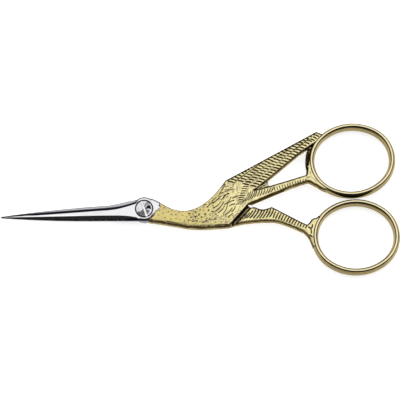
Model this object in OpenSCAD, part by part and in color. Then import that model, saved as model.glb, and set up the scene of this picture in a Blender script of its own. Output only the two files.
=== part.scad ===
// Stork embroidery scissors, closed and lying flat.
// X runs from the tips to the finger rings, Y across the blades, Z up through the thickness.
// The origin is on the pivot axis, at the flat underside of the back half's head.
// The front half is the upper layer at the blades and carries the stork's body and the upper ring.

/* [Thickness] */
// Thickness of one half where the two halves lap
layer_t = 2; // [1.6:0.1:2.4]
// Gap between the lapped faces of the two halves
lap_gap = 0.06; // [0.02:0.01:0.12]
// Depth of the gilt faces below the bare head, which the feather relief fills
relief_depth = 0.1; // [0.05:0.01:0.2]

/* [Pivot] */
// Radius of the round head about the pivot axis
head_r = 3.4; // [3.1:0.05:3.8]
// Radius of the screw's slotted head
screw_head_r = 2.4; // [2:0.05:2.6]
// Height of the screw's head below its dome
screw_head_h = 0.85; // [0.6:0.05:1.1]
// Rise of the dome on the screw's head
screw_dome_h = 0.15; // [0.05:0.05:0.4]
// Radius of the plain shank that the front half turns on
shank_r = 1.25; // [1.1:0.05:1.6]
// Radius of the screw's threaded end
thread_r = 1; // [0.7:0.05:1.05]
// Running clearance round the shank
shank_clearance = 0.05; // [0.02:0.01:0.1]
// Play under the screw's head
head_play = 0.03; // [0.02:0.01:0.08]
// Open gap round the screw's head in its counterbore
head_gap = 0.2; // [0.1:0.05:0.35]
// Width of the screwdriver slot
slot_w = 0.5; // [0.3:0.05:0.8]
// Depth of the screwdriver slot
slot_d = 0.45; // [0.2:0.05:0.55]
// Direction of the screwdriver slot, from the X axis
slot_angle = -71; // [-90:1:90]

/* [Blades] */
// Length from the pivot axis to the tips
blade_len = 41.4; // [34:0.1:50]
// Drop of the closed tips below the pivot axis
tip_drop = 2.2; // [1.5:0.05:2.8]
// Length from the pivot axis to the heel, where the ground facets start to run out
heel_len = 12.7; // [9:0.1:16]
// Height of the front blade's cutting edge at its heel, from the pivot axis
front_edge_y = 0.26; // [0:0.02:0.6]
// Height of the front blade's back at its heel, from the pivot axis
front_spine_y = -3.3; // [-3.6:0.05:-2.8]
// Height of the front blade's ridge at its heel, from the pivot axis
front_ridge_y = -1.97; // [-2.3:0.05:-1.6]
// Height of the back blade's cutting edge at its heel, from the pivot axis
back_edge_y = -2.3; // [-2.7:0.05:-1.8]
// Height of the back blade's back at its heel, from the pivot axis
back_spine_y = 1.26; // [1:0.05:1.7]
// Height of the back blade's ridge at its heel, from the pivot axis
back_ridge_y = -0.1; // [-0.4:0.05:0.3]
// Thickness of one blade at its ridge, at the heel
heel_ridge_t = 1.6; // [1.2:0.05:1.9]
// Thickness of one blade at its back, at the heel
heel_spine_t = 1; // [0.5:0.05:1.15]
// Thickness of one blade at its ridge, at the tip
tip_ridge_t = 0.65; // [0.4:0.05:1]
// Bow of each blade's back between its tip and its heel
spine_bow = 0.3; // [0:0.02:0.4]
// Height of one blade at its tip
tip_w = 0.5; // [0.3:0.02:0.8]
// Width of the honed bevel along the cutting edge
edge_bevel = 0.16; // [0.08:0.01:0.3]
// Rise of the honed bevel from the lapped face
edge_bevel_h = 0.25; // [0.15:0.01:0.35]

/* [Neck and body] */
// Distance from the pivot axis to the finish line between bare steel and gilding
finish_x = 4.5; // [4:0.1:5.5]
// Height down to which the finish line runs straight, before it turns in to the head
finish_y = 0.2; // [-0.6:0.1:0.8]
// How far the back half's neck stands out below the front half's
back_proud = 0.2; // [0.05:0.05:0.3]
// Distance from the pivot axis to the hollow of the neck
neck_x = 11.2; // [10:0.1:13]
// Height of the neck's upper edge at its hollow
neck_y = -0.6; // [-1.2:0.05:0]
// Depth of the neck at its hollow
neck_w = 4.2; // [3.4:0.1:5]
// Distance from the pivot axis to the shoulder
shoulder_x = 23.5; // [22:0.1:25]
// Height of the shoulder
shoulder_y = 8.45; // [7:0.05:10]
// Distance from the pivot axis to the belly's corner
belly_x = 24.5; // [23:0.1:25.5]
// Height of the belly's corner
belly_y = -4.75; // [-5.4:0.05:-4]
// Distance from the pivot axis to the fork under the body
fork_x = 30.1; // [29.4:0.1:30.6]
// Height of the fork under the body
fork_y = 1.5; // [1:0.1:2]
// Distance from the pivot axis to the tail's corner
tail_x = 50.0; // [48.8:0.1:50.4]
// Height of the tail's corner
tail_y = 23.2; // [22.2:0.1:24]
// Width of the wing at its ringed end
wing_w = 6; // [5:0.1:6.6]
// Length of the wing's straight lower edge along the window
window_len = 17.4; // [16.8:0.1:18]
// Rise of the wing's lower edge above the X axis, in degrees
wing_rise = 40.4; // [39:0.2:42]

/* [Wing window and legs] */
// Distance from the pivot axis to the sharp corner between wing and leg
window_x = 31.8; // [31.4:0.1:33]
// Height of that corner
window_y = 5.6; // [5.2:0.1:6.4]
// Length of the sunk web that fills the corner, along the wing
web_len = 5; // [3:0.1:6]
// Depth of the web below the gilt faces
web_depth = 0.8; // [0.4:0.1:1.3]
// Rise of the front leg at its foot, in degrees
leg_rise = 18; // [12:1:24]
// Fall of the back leg at its foot, in degrees
shin_fall = 26; // [18:1:32]
// Rise of the thigh's lower corner along the joint from the belly's corner
thigh_rise = 2.1; // [1.8:0.1:2.6]
// Height of the front leg where it meets its foot
leg_w = 1.75; // [1.3:0.05:2.2]
// Width of the open joint between the body and the back thigh
thigh_gap = 1.5; // [1:0.05:1.8]
// Gap between the halves along the edge of the lap under the body
lap_side_gap = 0.3; // [0.15:0.05:0.4]
// Distance from the pivot axis to the knee of the back leg
knee_x = 36.8; // [35.5:0.1:38]
// Height of the knee of the back leg
knee_y = 0.55; // [0:0.05:0.8]
// Depth of the back thigh under the knee
thigh_w = 3.85; // [3:0.05:4.6]
// Height of the back leg where it meets its foot
shin_w = 2; // [1.5:0.05:2.4]

/* [Finger rings] */
// Height of the line on which the closed rings meet
ring_meet_y = 3.39; // [3:0.05:3.8]
// Gap between the closed rings across that line
ring_gap = 0.42; // [0.3:0.02:0.8]
// Length of each ring's opening
ring_open_len = 21.7; // [20:0.1:22.4]
// Height of each ring's opening
ring_open_h = 18.65; // [17.5:0.05:19.5]
// Width of the ring's band
ring_band = 1.9; // [1.6:0.05:2]
// Thickness of the ring's band through the object
ring_t = 4; // [3.4:0.1:4]
// Distance from the pivot axis to the front ring's centre
front_ring_x = 60.3; // [59.6:0.1:61.4]
// Tilt of the front ring
front_ring_tilt = 8; // [0:1:14]
// Distance from the pivot axis to the back ring's centre
back_ring_x = 61.1; // [60.4:0.1:62.2]
// Tilt of the back ring
back_ring_tilt = 2; // [-4:1:6]
// Direction from the front ring's centre to its foot
front_foot_dir = 203; // [200:0.5:206]
// Direction from the back ring's centre to its foot
back_foot_dir = 170.5; // [168:0.5:173]
// Length of the front foot between its ring and the leg
front_foot_len = 1.6; // [1.3:0.1:2]
// Length of the back foot between its ring and the leg
back_foot_len = 2; // [1.7:0.1:2.4]
// Lap of the wing and the feet onto the ring's band
ring_lap = 0.35; // [0.2:0.05:0.5]

/* [Hidden] */

$fn = 64;
curve_steps = 12;
section_steps = 24;
ground_steps = 5;
run_out_steps = 9;
big = 90;
// The heads' outline is met just inside by the blades' roots
root_tuck = 0.1;
// The web runs this far into the wing, so that they are one solid
web_lap = 1;
// Share of the run-out at which the ground facets have died away
facet_end = 0.7;

total_t = 2 * layer_t;
front_floor_z = layer_t + lap_gap / 2;
back_roof_z = layer_t - lap_gap / 2;
half_t = layer_t - lap_gap / 2;
face_z = total_t - relief_depth;
base_z = relief_depth;
seat_z = total_t - screw_head_h;

// Outline of each foot beside its ring, as directions from the ring's centre and reaches
front_claw = [[191, 0.5], [182, 0], [182, -1.2], [232, -1.2], [232, 0], [226, 0.25], [217.5, 0.35],
    [213, 0.8], [209, 1.15]];
back_claw = [[163.5, 1.4], [159.5, 1.25], [157.3, 0.95], [154.5, 0.2], [150, 0], [150, -1.2], [194, -1.2],
    [194, 0], [188, 0.2], [182, 0.6], [178.5, 1.15]];

// Points of a cubic Bezier curve from a to d with handles b and c
function bezier(a, b, c, d, steps = curve_steps) =
    [for (i = [0 : steps]) let (t = i / steps, s = 1 - t)
        s * s * s * a + 3 * s * s * t * b + 3 * s * t * t * c + t * t * t * d];

// Unit vector in the given direction
function heading(angle) = [cos(angle), sin(angle)];

// Point a share of the way from a to b
function between(a, b, share) = a + share * (b - a);

// 0 up to 1 with soft ends
function soft_step(t) = let (c = min(1, max(0, t))) c * c * (3 - 2 * c);

// The points of a list from its last to its first
function reversed(list) = [for (i = [len(list) - 1 : -1 : 0]) list[i]];

// Key points of the two halves in plan
tip = [-blade_len, -tip_drop];
head_top = 0.95 * head_r * heading(76);
head_bottom = 0.95 * head_r * heading(-76);
neck_hollow = [neck_x, neck_y];
neck_under = neck_hollow - [0, neck_w];
shoulder = [shoulder_x, shoulder_y];
belly = [belly_x, belly_y];
fork = [fork_x, fork_y];
tail = [tail_x, tail_y];
window = [window_x, window_y];
knee = [knee_x, knee_y];
knee_under = knee - [0, thigh_w];

// Directions along and across the diagonal joint between the body and the back thigh
joint_dir = (fork - belly) / norm(fork - belly);
joint_side = [joint_dir.y, -joint_dir.x];
thigh_corner = fork + thigh_gap * joint_side;
thigh_heel = belly + thigh_gap * joint_side + thigh_rise * joint_dir;

// Half lengths and half heights of a ring's centre line and of its outside
mid_a = (ring_open_len + ring_band) / 2;
mid_b = (ring_open_h + ring_band) / 2;
out_a = mid_a + ring_band / 2;
out_b = mid_b + ring_band / 2;
// A ring's centre line is an oval of two end arcs and two flatter side arcs, which meet on lines
// of this direction through the centres of both
arc_join = [0.6, 0.8];
centre_distance = (mid_a - mid_b) / (arc_join.x + arc_join.y - 1);
end_centre = [centre_distance * arc_join.x, 0];
side_centre = [0, -centre_distance * arc_join.y];
end_r = mid_a - end_centre.x;
side_r = end_r + centre_distance;
front_ring_c = [front_ring_x, ring_meet_y + ring_gap / 2 + half_height(front_ring_tilt)];
back_ring_c = [back_ring_x, ring_meet_y - ring_gap / 2 - half_height(back_ring_tilt)];
band_section = [for (i = [0 : section_steps - 1]) let (u = 360 * i / section_steps)
    [ring_band / 2 * cos(u), ring_t / 2 * sin(u)]];

// Half the height of a ring with the given tilt
function half_height(tilt) = side_r + ring_band / 2 + side_centre.y * cos(tilt);

// Point at the given reach outside a ring, seen from its centre in the given direction
function ring_point(centre, tilt, angle, reach) =
    let (u = angle - tilt, a = out_a + reach, b = out_b + reach)
        centre + a * b / norm([b * cos(u), a * sin(u)]) * heading(angle);

// Points beside a ring from a list of directions and reaches
function ring_points(centre, tilt, list) = [for (p = list) ring_point(centre, tilt, p[0], p[1])];

// Ends of the two legs, where the feet begin
leg_mid = ring_point(front_ring_c, front_ring_tilt, front_foot_dir, front_foot_len);
leg_top = leg_mid + leg_w / 2 * heading(leg_rise + 90);
leg_bottom = leg_mid - leg_w / 2 * heading(leg_rise + 90);
shin_mid = ring_point(back_ring_c, back_ring_tilt, back_foot_dir, back_foot_len);
shin_top = shin_mid + shin_w / 2 * heading(90 - shin_fall);
shin_bottom = shin_mid - shin_w / 2 * heading(90 - shin_fall);

// Outlines in plan, each from left to right
throat_edge = bezier(head_top, head_top + [3.6, -0.1], neck_hollow - [4.6, 0], neck_hollow);
breast_edge = bezier(neck_hollow, neck_hollow + [5, 0], shoulder - 6 * heading(55), shoulder);
lower_edge = concat(
    bezier(head_bottom, head_bottom + [3.6, -0.45], neck_under + [-3.6, 0.65], neck_under),
    bezier(neck_under, neck_under - [-4.6, 0.83], belly + [-4.2, -0.3], belly));
wing_root = window + window_len * heading(wing_rise);
wing_end = tail - wing_w * heading(wing_rise + 85);
web_end = window + web_len * heading(wing_rise);
leg_top_edge = bezier(window, window + [4, 0.95], leg_top - [4, 1.2], leg_top);
leg_lower_edge = bezier(fork, fork + [4, 1.7], leg_bottom - [4.5, 1.1], leg_bottom);
thigh_top_edge = concat(
    bezier(thigh_corner, thigh_corner + [2.2, 0.05], knee - [3.8, 1.65], knee),
    bezier(knee, knee + [2.8, -1.3], shin_top + [-3, 1.3], shin_top));
thigh_lower_edge = concat(
    bezier(thigh_heel, thigh_heel + [3, 0.65], knee_under - [3.6, 0], knee_under),
    bezier(knee_under, knee_under + [2.6, 0], shin_bottom + [-3.2, 1.45], shin_bottom));

// The line in the lower layer up to which the back half lies under the front half's body
lap_start = breast_edge[5];
lap_corner = leg_lower_edge[1];
lap_line = bezier(lap_start, lap_start + [3.5, 1.6], fork + [-5, 1.3], lap_corner);

// A vertical plate of the given outline from z0 up to z1
module plate(points, z0, z1) {
    translate([0, 0, z0]) linear_extrude(z1 - z0) polygon(points);
}

// The part of the lower layer that the back half takes up under the front half
module lap_zone(z0, z1, side_gap = 0) {
    shifted = [for (p = lap_line) p - [0, side_gap]];
    plate(concat(
        shifted,
        [[lap_corner.x, -big], [-big, -big], [-big, big], [lap_start.x, big]]), z0, z1);
}

// The bare steel round the pivot, up to the finish line
module bare_zone(z0, z1) {
    translate([0, 0, z0]) cylinder(r = head_r, h = z1 - z0);
    plate([[0, 0], [0, head_r + 1], [finish_x, head_r + 1], [finish_x, finish_y],
        0.9 * head_r * heading(-15)], z0, z1);
}

// One arc of a ring's band, between the directions from its centre to two far corners
module ring_arc(centre, radius, far_corners) {
    intersection() {
        translate([centre.x, centre.y, layer_t])
            rotate_extrude() translate([radius, 0]) polygon(band_section);
        plate(concat([centre], far_corners), -1, total_t + 1);
    }
}

// One oval finger ring with its rounded band
module ring(centre, tilt) {
    far = end_centre + 20 * arc_join;
    translate([centre.x, centre.y, 0]) rotate(tilt) union() {
        ring_arc(end_centre, end_r, [[far.x, -far.y], far]);
        ring_arc(side_centre, side_r, [far, [-far.x, far.y]]);
        ring_arc(-end_centre, end_r, [[-far.x, far.y], -far]);
        ring_arc(-side_centre, side_r, [-far, [far.x, -far.y]]);
    }
}

// The room of a ring, which the wing and the feet are cut away from
module ring_room(centre, tilt) {
    ring(centre, tilt);
    plate([for (u = [0 : 6 : 354]) ring_point(centre, tilt, u, -ring_lap)], -1, total_t + 1);
}

// One blade with its edge towards +Y, its lapped face at z = 0 and its ground facets above
module blade(tip_y, edge_y, ridge_y, spine_y) {
    root_y = head_r - root_tuck;
    spine_share = heel_spine_t / heel_ridge_t;
    edge_slope = (edge_y - tip_y - tip_w / 2) / (blade_len - heel_len);
    ground = [for (i = [0 : ground_steps - 1]) let (
        t = i / ground_steps,
        x = -blade_len + t * (blade_len - heel_len),
        ridge_z = between(tip_ridge_t, heel_ridge_t, t),
        edge = between(tip_y + tip_w / 2, edge_y, t),
        spine = between(tip_y - tip_w / 2, spine_y, t) - spine_bow * 4 * t * (1 - t))
        [[x, edge, 0], [x, edge - edge_bevel, edge_bevel_h],
            [x, between(tip_y - tip_w / 4, ridge_y, t), ridge_z],
            [x, spine, spine_share * ridge_z], [x, spine, 0]]];
    run_out = [for (i = [0 : run_out_steps]) let (
        t = i / run_out_steps,
        x = -heel_len * (1 - t),
        edge_line = edge_y + edge_slope * t * heel_len,
        edge = between(edge_line, root_y, t ^ 3),
        spine = between(spine_y, -root_y, soft_step(t)))
        [[x, edge, 0],
            [x, edge - edge_bevel, between(edge_bevel_h, half_t, soft_step(t / facet_end))],
            [x, between(ridge_y, -root_y, t ^ 4), between(heel_ridge_t, half_t, soft_step(t / facet_end))],
            [x, spine, between(heel_spine_t, half_t, soft_step((t - 0.3) / 0.7))], [x, spine, 0]]];
    rings = concat(ground, run_out);
    last = len(rings) - 1;
    faces = concat(
        [[0, 1, 2, 3, 4]],
        [for (i = [0 : last - 1]) for (j = [0 : 4]) let (k = (j + 1) % 5)
            each [[5 * i + j, 5 * (i + 1) + j, 5 * i + k], [5 * (i + 1) + j, 5 * (i + 1) + k, 5 * i + k]]],
        [[for (j = [4 : -1 : 0]) 5 * last + j]]);
    polyhedron([for (r = rings) each r], faces);
}

module front_blade() {
    color([0.8, 0.8, 0.82]) difference() {
        union() {
            translate([0, 0, front_floor_z])
                blade(-tip_drop, front_edge_y, front_ridge_y, front_spine_y);
            translate([0, 0, front_floor_z]) cylinder(r = head_r, h = half_t);
            intersection() {
                plate(concat([head_bottom], throat_edge), front_floor_z, total_t);
                bare_zone(front_floor_z - 1, total_t + 1);
            }
        }
        translate([0, 0, front_floor_z - 1]) cylinder(r = shank_r + shank_clearance, h = layer_t + 2);
        translate([0, 0, seat_z - head_play]) cylinder(r = screw_head_r + head_gap, h = layer_t);
    }
}

module front_body() {
    color([0.86, 0.78, 0.5]) difference() {
        union() {
            plate(concat(
                throat_edge, breast_edge,
                [tail, tail + [1.6, -0.5], front_ring_c, wing_end, wing_root, window, fork],
                reversed(lower_edge)), base_z, face_z);
            plate([window - [web_lap, 0], web_end - [web_lap, 0],
                leg_top_edge[4], leg_lower_edge[4]], base_z, face_z - web_depth);
        }
        lap_zone(-1, front_floor_z);
        bare_zone(-1, total_t + 1);
        ring_room(front_ring_c, front_ring_tilt);
        leg_plate(-1, total_t + 1);
    }
}

// The front leg's outline as a plate
module leg_plate(z0, z1) {
    plate(concat(leg_top_edge, reversed(leg_lower_edge)), z0, z1);
}

module front_leg() {
    color([0.86, 0.78, 0.5]) difference() {
        leg_plate(base_z, face_z);
        lap_zone(-1, front_floor_z);
    }
}

module front_foot() {
    color([0.86, 0.78, 0.5]) difference() {
        plate(concat(
            [leg_bottom, leg_top],
            ring_points(front_ring_c, front_ring_tilt, front_claw)), base_z, face_z);
        ring_room(front_ring_c, front_ring_tilt);
    }
}

module front_ring() {
    color([0.86, 0.78, 0.5]) ring(front_ring_c, front_ring_tilt);
}

module back_blade() {
    color([0.8, 0.8, 0.82]) difference() {
        union() {
            translate([0, 0, half_t]) mirror([0, 0, 1]) mirror([0, 1, 0])
                blade(tip_drop, -back_edge_y, -back_ridge_y, -back_spine_y);
            cylinder(r = head_r, h = half_t);
            intersection() {
                plate(concat([head_bottom], throat_edge), 0, half_t);
                bare_zone(-1, layer_t + 1);
            }
        }
        translate([0, 0, -1]) cylinder(r = thread_r, h = layer_t + 2);
    }
}

module back_body() {
    color([0.86, 0.78, 0.5]) difference() {
        intersection() {
            plate(concat(
                throat_edge, breast_edge, [window, fork, thigh_corner, thigh_heel],
                [for (p = reversed(lower_edge)) p - [0, back_proud]]), base_z, back_roof_z);
            lap_zone(-1, total_t, lap_side_gap);
        }
        bare_zone(-1, total_t + 1);
    }
}

module back_leg() {
    color([0.86, 0.78, 0.5]) plate(concat(thigh_top_edge, reversed(thigh_lower_edge)), base_z, face_z);
}

module back_foot() {
    color([0.86, 0.78, 0.5]) difference() {
        plate(concat(
            [shin_bottom, shin_top],
            ring_points(back_ring_c, back_ring_tilt, back_claw)), base_z, face_z);
        ring_room(back_ring_c, back_ring_tilt);
    }
}

module back_ring() {
    color([0.86, 0.78, 0.5]) ring(back_ring_c, back_ring_tilt);
}

module pivot_screw() {
    dome_r = (screw_head_r ^ 2 + screw_dome_h ^ 2) / (2 * screw_dome_h);
    color([0.7, 0.7, 0.72]) difference() {
        union() {
            cylinder(r = thread_r, h = half_t);
            translate([0, 0, half_t]) cylinder(r = shank_r, h = seat_z - half_t);
            intersection() {
                translate([0, 0, seat_z]) cylinder(r = screw_head_r, h = screw_head_h + screw_dome_h);
                translate([0, 0, total_t + screw_dome_h - dome_r]) sphere(r = dome_r);
            }
        }
        translate([0, 0, total_t + screw_dome_h - slot_d / 2 + 0.5]) rotate(slot_angle)
            cube([2 * screw_head_r + 1, slot_w, slot_d + 1], center = true);
    }
}

front_blade();
front_body();
front_leg();
front_foot();
front_ring();
back_blade();
back_body();
back_leg();
back_foot();
back_ring();
pivot_screw();
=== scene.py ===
import math

import bmesh
import bpy
import numpy as np
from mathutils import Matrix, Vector, kdtree
from mathutils.geometry import delaunay_2d_cdt


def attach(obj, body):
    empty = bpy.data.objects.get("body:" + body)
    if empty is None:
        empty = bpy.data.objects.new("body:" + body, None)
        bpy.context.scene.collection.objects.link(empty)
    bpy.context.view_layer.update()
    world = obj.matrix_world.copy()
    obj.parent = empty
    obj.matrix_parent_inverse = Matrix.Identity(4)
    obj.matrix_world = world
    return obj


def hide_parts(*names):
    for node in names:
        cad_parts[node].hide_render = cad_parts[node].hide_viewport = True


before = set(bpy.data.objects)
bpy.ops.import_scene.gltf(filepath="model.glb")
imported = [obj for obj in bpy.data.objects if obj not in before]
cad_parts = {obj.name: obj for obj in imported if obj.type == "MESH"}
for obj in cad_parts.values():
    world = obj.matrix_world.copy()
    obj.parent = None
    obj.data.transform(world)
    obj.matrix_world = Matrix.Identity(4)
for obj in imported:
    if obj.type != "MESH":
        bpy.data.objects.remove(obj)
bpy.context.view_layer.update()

# Stork embroidery scissors, closed and lying flat. All sizes below are millimetres in the
# object's own frame: X from the tips to the rings, Y across, Z up. They become metres where a
# mesh is made.

# ---------------------------------------------------------------------------------------------
# Steel blades. Each half ends in a slender blade of bare polished steel: a wide ground facet
# down to a honed edge, a ridge, and a narrow facet down to the back. Both run out into a round
# head, where the upper one is counterbored for the screw.

MM = 0.001
THICK = 4.0
FRONT_FLOOR, BACK_ROOF = 2.03, 1.97
HEAD_R = 3.4
FINISH = (4.5, 0.2)


def heading(degrees):
    return np.array([math.cos(math.radians(degrees)), math.sin(math.radians(degrees))])


def bezier(start, leave, arrive, end):
    """A curve between two points, with its handles given from them"""
    t = np.linspace(0, 1, 61)[:, None]
    s = 1 - t
    return (s ** 3 * start + 3 * s * s * t * (start + leave) + 3 * s * t * t * (end + arrive)
            + t ** 3 * end)


def soft_step(t):
    t = np.clip(t, 0, 1)
    return t * t * (3 - 2 * t)


def evenly(line, spacing):
    """The same line with points an even distance apart"""
    line = np.asarray(line, float)
    along = np.concatenate([[0], np.cumsum(np.linalg.norm(np.diff(line, axis=0), axis=1))])
    at = np.linspace(0, along[-1], max(1, round(along[-1] / spacing)) + 1)
    return np.column_stack([np.interp(at, along, line[:, k]) for k in (0, 1)])


def looped(*lines):
    """One closed outline from lines that start where the last one ended"""
    return np.concatenate([np.asarray(line)[:-1] for line in lines])


def closed(outline):
    """An outline with its first point once more at its end"""
    return np.array([*outline, outline[0]])


def crossings(outline, level):
    """Where an outline crosses a level of Y, in order"""
    x, y = outline.T
    next_x, next_y = np.roll(x, -1), np.roll(y, -1)
    cut = (y <= level) != (next_y <= level)
    return np.sort(x[cut] + (level - y[cut]) / (next_y[cut] - y[cut]) * (next_x[cut] - x[cut]))


def staggered(outline, spacing):
    """Points of a staggered lattice inside an outline"""
    low_y, high_y = outline[:, 1].min(), outline[:, 1].max()
    rows = []
    for k, level in enumerate(np.arange(low_y + spacing / 2, high_y, spacing * 0.87)):
        ends = crossings(outline, level)
        shift = k % 2 * spacing / 2
        for low, high in zip(ends[::2], ends[1::2]):
            at = np.arange(math.ceil(low / spacing), high / spacing) * spacing + shift
            rows.append(np.column_stack([at, np.full(len(at), level)]))
    return np.concatenate(rows)


def nearest(points, near):
    """How far each point is from the nearest of some others"""
    tree = kdtree.KDTree(len(near))
    for k, (x, y) in enumerate(near):
        tree.insert((x, y, 0), k)
    tree.balance()
    return np.array([tree.find((x, y, 0))[2] for x, y in points])


def distance(points, lines):
    """How far each point is from the nearest of some lines"""
    return nearest(points, np.concatenate([evenly(line, 0.03) for line in lines]))


def clear_of(points, lines, gap):
    """Those of some points that lie farther from some lines than a gap"""
    return points[distance(points, lines) > gap]


def inset(lines, depths, spacing):
    """Points beside some lines at the given depths, on both sides of them"""
    beside = []
    for line in lines:
        line = evenly(line, spacing)
        run = np.gradient(line, axis=0)
        side = np.column_stack([-run[:, 1], run[:, 0]]) / np.linalg.norm(run, axis=1)[:, None]
        beside += [clear_of(line + side * depth, lines, depth * 0.97) for depth in depths]
    return np.concatenate(beside)


def in_scene(name, data):
    """A new object at the origin that shows a mesh, or is the camera"""
    piece = bpy.data.objects.new(name, data)
    bpy.context.collection.objects.link(piece)
    return piece


class Skin:
    """The patches of one piece's closed skin, which meet in shared points"""

    def __init__(self):
        self.points, self.faces, self.side, self.patina = [], [], [], []

    def add(self, points, faces, side=0, patina=0):
        start = len(self.points)
        self.points += [tuple(p) for p in points]
        self.faces += [[start + k for k in face] for face in faces]
        self.side += list(np.broadcast_to(side, len(points)))
        self.patina += list(np.broadcast_to(patina, len(points)))

    def face(self, outline, inner, height, hole=0, lines=(), up=True, side=0, patina=0):
        """A face over an outline in plan, at the given height, with a round hole at the pivot"""
        plan = [*outline, *inner]
        edges = []
        for line in lines:
            edges += [(k, k + 1) for k in range(len(plan), len(plan) + len(line) - 1)]
            plan += [*line]
        found = delaunay_2d_cdt([Vector(p) for p in plan], edges, [range(len(outline))], 1, 1e-5)
        plan = np.array([tuple(p) for p in found[0]])
        faces = [f if up else f[::-1] for f in found[2]]
        if hole:
            faces = [f for f in faces if np.linalg.norm(plan[list(f)].mean(0)) > hole]
        z = height(plan) if callable(height) else np.full(len(plan), height)
        tone = patina(plan) if callable(patina) else patina
        self.add(np.column_stack([plan, z]), faces, side, tone)

    def wall(self, line, levels, bulge=0, out=None, sides=(0, 0), patina=0):
        """A wall along a line in plan, through some levels of height from the top to the bottom"""
        line = np.asarray(line)
        count = len(line)
        levels = [np.broadcast_to(level, count) for level in levels]
        depth = levels[0] - levels[-1]
        depth = np.where(np.abs(depth) < 1e-6, 1e-6, depth)
        points, side, dark = [], [], []
        for k, level in enumerate(levels):
            t = (levels[0] - level) / depth
            swell = 0 if out is None else out * (bulge * np.sin(math.pi * t))[:, None]
            points.append(np.column_stack([line + swell, level]))
            end = sides[0] if k == 0 else sides[1] if k == len(levels) - 1 else 0
            side.append(np.full(count, end))
            dark.append(patina(level) if callable(patina) else np.full(count, patina))
        faces = [
            [k * count + i, (k + 1) * count + i, (k + 1) * count + i + 1, k * count + i + 1]
            for k in range(len(levels) - 1) for i in range(count - 1)]
        self.add(np.concatenate(points), faces, np.concatenate(side), np.concatenate(dark))

    def made(self, name, material, crisp=None):
        """The finished object, with the patches sewn together"""
        mesh = bpy.data.meshes.new(name)
        mesh.from_pydata([tuple(MM * c for c in p) for p in self.points], [], self.faces)
        for key, values in (("side", self.side), ("patina", self.patina)):
            mesh.attributes.new(key, "FLOAT", "POINT").data.foreach_set("value", values)
        form = bmesh.new()
        form.from_mesh(mesh)
        bmesh.ops.remove_doubles(form, verts=form.verts, dist=0.002 * MM)
        bmesh.ops.dissolve_degenerate(form, edges=form.edges, dist=0.0005 * MM)
        loose = [v for v in form.verts if not v.link_faces]
        bmesh.ops.delete(form, geom=loose, context="VERTS")
        bmesh.ops.recalc_face_normals(form, faces=form.faces)
        form.to_mesh(mesh)
        form.free()
        mesh.shade_smooth()
        if crisp:
            mesh.set_sharp_from_angle(angle=math.radians(crisp))
        mesh.materials.append(material)
        return in_scene(name, mesh)


def principled(name):
    """A new material, its tree and its Principled shader"""
    material = bpy.data.materials.new(name)
    material.use_nodes = True
    return material, material.node_tree, material.node_tree.nodes["Principled BSDF"]


def plug(tree, made, inputs):
    """Links or sets the inputs of a node, by place or name"""
    for key, value in dict(inputs).items():
        if isinstance(value, bpy.types.NodeSocket):
            tree.links.new(value, made.inputs[key])
        else:
            made.inputs[key].default_value = value


def node(tree, kind, inputs=(), **settings):
    """A new node with its settings and its inputs"""
    made = tree.nodes.new(kind)
    for key, value in settings.items():
        setattr(made, key, value)
    plug(tree, made, inputs)
    return made


def maths(tree, operation, *values, clamp=False):
    """The outcome of one step of arithmetic on numbers and sockets"""
    return node(tree, "ShaderNodeMath", enumerate(values), operation=operation,
                use_clamp=clamp).outputs[0]


def ranged(tree, value, low, high, out_low=0, out_high=1, kind="LINEAR"):
    """A value carried over from one range to another"""
    return node(tree, "ShaderNodeMapRange", {
        "Value": value, "From Min": low, "From Max": high, "To Min": out_low,
        "To Max": out_high}, interpolation_type=kind).outputs["Result"]


def mixed(tree, share, low, high, kind="FLOAT"):
    """A blend of two numbers or two colours"""
    first, second, out = (6, 7, 2) if kind == "RGBA" else (2, 3, 0)
    return node(tree, "ShaderNodeMix", {0: share, first: low, second: high},
                data_type=kind).outputs[out]


def new_group(name, inputs, outputs, kind="ShaderNodeTree"):
    """An empty node group with named sockets, and its two ends"""
    group = bpy.data.node_groups.new(name, kind)
    for way, sockets in (("INPUT", inputs), ("OUTPUT", outputs)):
        for label, value in sockets.items():
            group.interface.new_socket(label, in_out=way, socket_type="NodeSocket" + value)
    start, end = group.nodes.new("NodeGroupInput"), group.nodes.new("NodeGroupOutput")
    return group, start.outputs, end.inputs


def grouped(tree, group, **inputs):
    """A shader group placed in a tree, with its inputs linked or set"""
    inputs = {label.replace("_", " "): value for label, value in inputs.items()}
    return node(tree, "ShaderNodeGroup", inputs, node_tree=group).outputs


# Metal that darkens where its two attributes say, with a mottled edge to it: one carries painted
# shade and painted reflections, the other the patina and painted shade in the struck strokes
aged_and_shaded, start, end = new_group(
    "aged_metal", {"Bright": "Color", "Middle": "Color", "Dark": "Color",
                   "Mottle Scale": "Float", "Mottle": "Float"}, {"Color": "Color"})
spot = node(aged_and_shaded, "ShaderNodeTexCoord").outputs["Object"]
cloud = node(aged_and_shaded, "ShaderNodeTexNoise", {"Vector": spot, "Scale": start["Mottle Scale"],
                                          "Detail": 4.0, "Roughness": 0.65}).outputs["Fac"]
painted_shade_and_patina_fac, pressed = (node(aged_and_shaded, "ShaderNodeAttribute", attribute_name=name).outputs["Fac"]
                 for name in ("patina", "recess"))
age_and_shade = maths(aged_and_shaded, "MULTIPLY_ADD", ranged(aged_and_shaded, cloud, 0.38, 0.62, -0.4, 1.0), start["Mottle"],
            maths(aged_and_shaded, "MAXIMUM", painted_shade_and_patina_fac, pressed), clamp=True)
tone = mixed(aged_and_shaded, ranged(aged_and_shaded, age_and_shade, 0, 0.4), start["Bright"], start["Middle"], "RGBA")
tone = mixed(aged_and_shaded, ranged(aged_and_shaded, age_and_shade, 0.4, 0.9), tone, start["Dark"], "RGBA")
aged_and_shaded.links.new(tone, end["Color"])

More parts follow.
